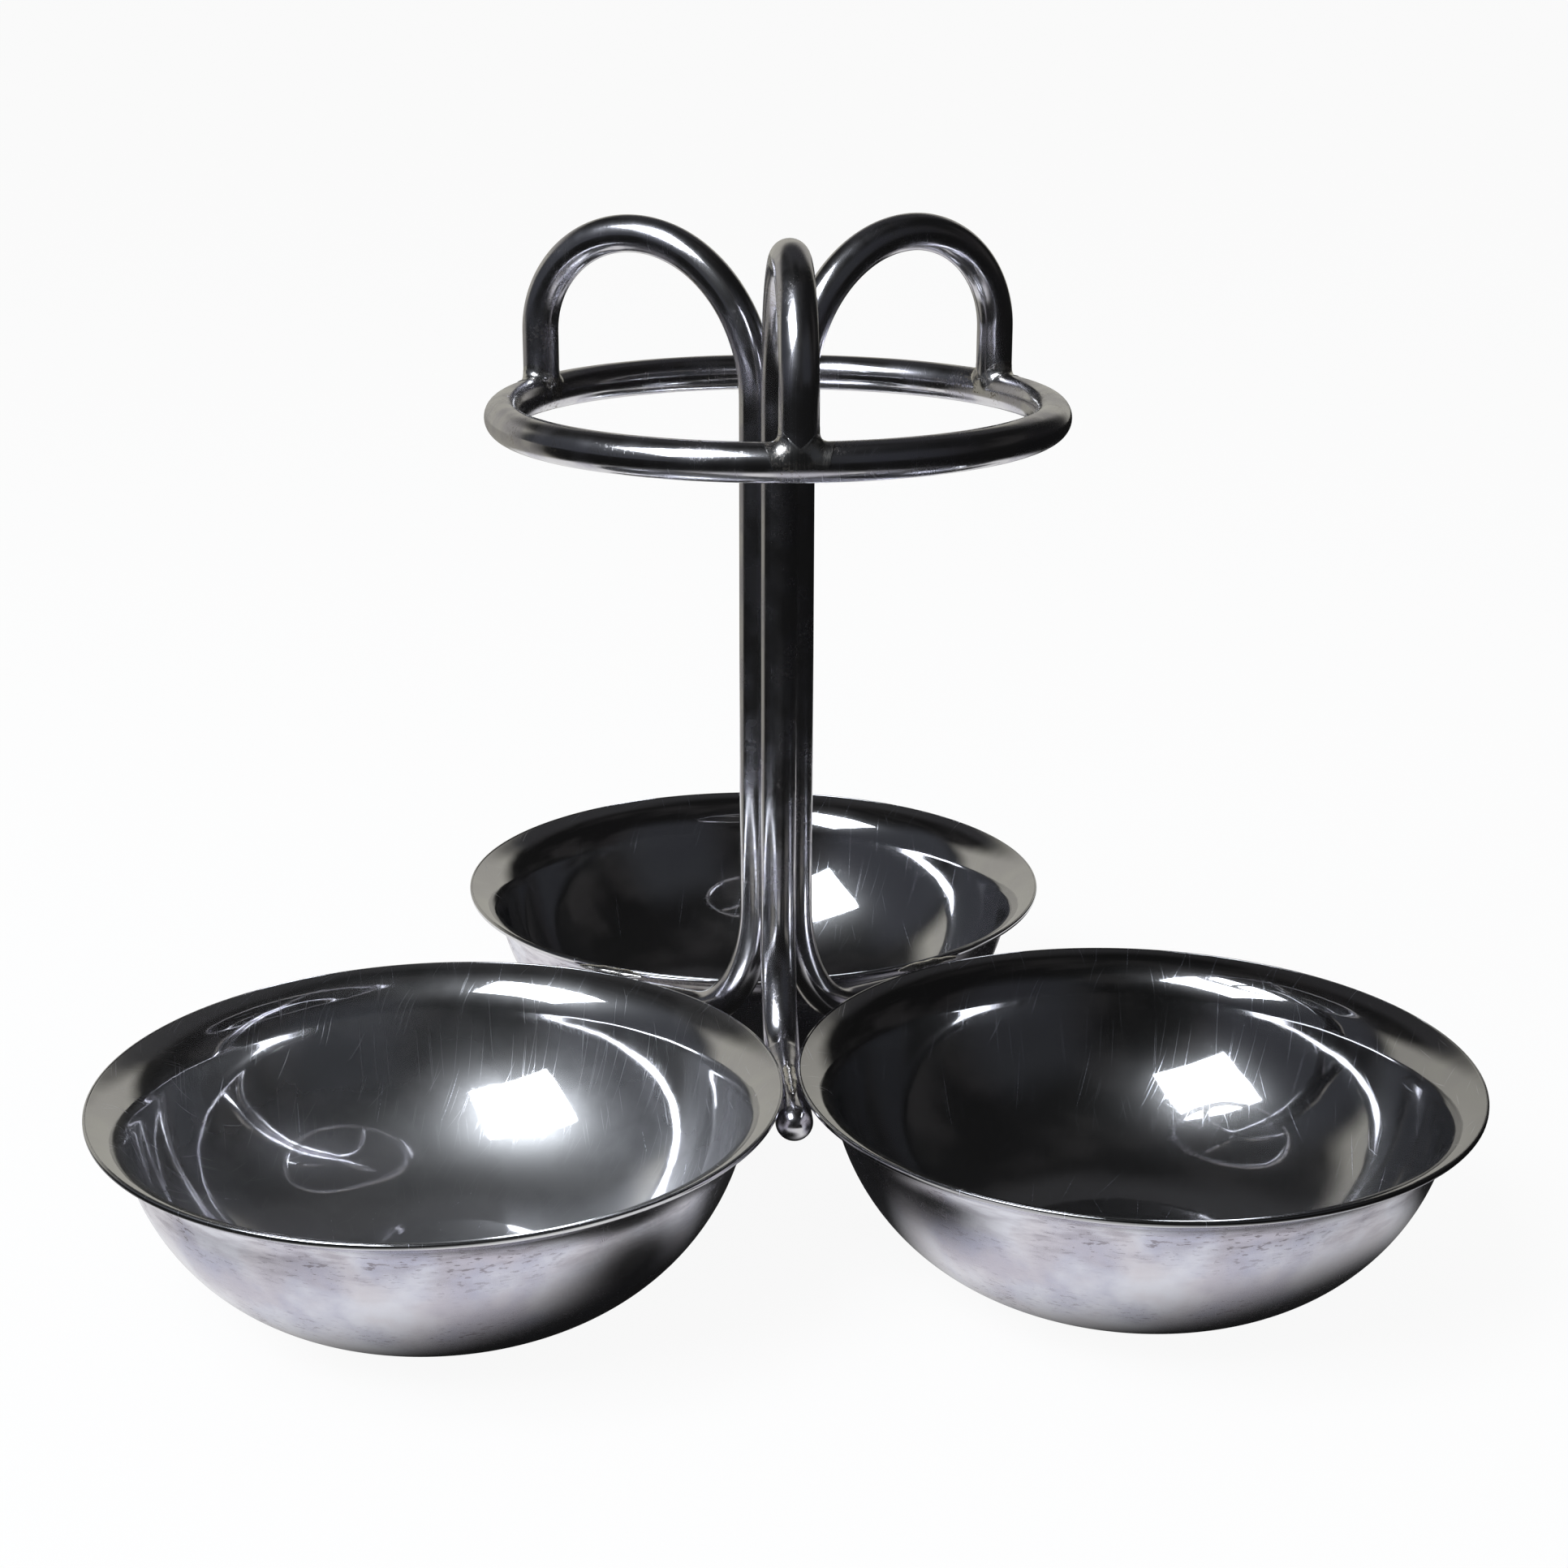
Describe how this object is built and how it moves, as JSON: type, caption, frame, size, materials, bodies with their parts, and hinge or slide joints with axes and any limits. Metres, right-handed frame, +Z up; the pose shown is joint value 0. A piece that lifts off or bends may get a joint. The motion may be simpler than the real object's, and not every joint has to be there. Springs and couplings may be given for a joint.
{
  "type": "three-bowl serving stand",
  "caption": "Serving stand of soldered silver-plated rod: open bowls round a slim column, with a ring and finger loops at the top to carry it by.",
  "frame": {"origin": "middle of the stand's outer box, on the surface that it stands on; the column's axis is 16.25 mm in front of it, at y = -16.25 mm", "axes": "+Z up along the column, +X to the right past the right-hand bowl, +Y towards the back bowl"},
  "size_m": [0.2226, 0.2076, 0.1666],
  "materials": {
    "rod_plate": "mirror-polished silver plate, worn and slightly pitted near the joints",
    "bowl_plate": "polished silver plate with fine rub scratches inside, cloudy and tarnished outside",
    "solder": "smooth bright solder under plate"
  },
  "bodies": {
    "root": {"rod_front": "rod_plate", "rod_right": "rod_plate", "rod_left": "rod_plate", "carrying_ring": "rod_plate", "bowl_back": "bowl_plate", "bowl_left": "bowl_plate", "bowl_right": "bowl_plate", "solder_collar_front": "solder", "solder_collar_right": "solder", "solder_collar_left": "solder", "solder_bead_front": "solder", "solder_bead_right": "solder", "solder_bead_left": "solder"}
  },
  "joints": []
}
